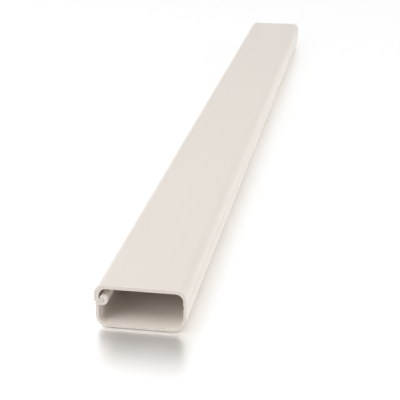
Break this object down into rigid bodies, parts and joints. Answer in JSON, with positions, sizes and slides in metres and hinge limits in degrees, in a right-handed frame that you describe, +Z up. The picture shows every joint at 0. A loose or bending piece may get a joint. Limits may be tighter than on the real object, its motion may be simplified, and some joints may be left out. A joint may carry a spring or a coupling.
{
  "type": "cord cover raceway",
  "caption": "Straight stick of one-piece plastic duct that hides cords along a wall or floor, with a cover hinged on one long side and snapped over a hook on the other.",
  "frame": {"origin": "middle of the flat underside, half way along the stick", "axes": "+Y along the stick, away from the cut end that the picture shows; +X across it towards the hinge line, so the latch is at -X; +Z up through the cover"},
  "size_m": [0.03, 0.4, 0.0145],
  "materials": {
    "ivory_pvc": "satin ivory extruded PVC"
  },
  "bodies": {
    "root": {"raceway": "ivory_pvc"}
  },
  "joints": []
}
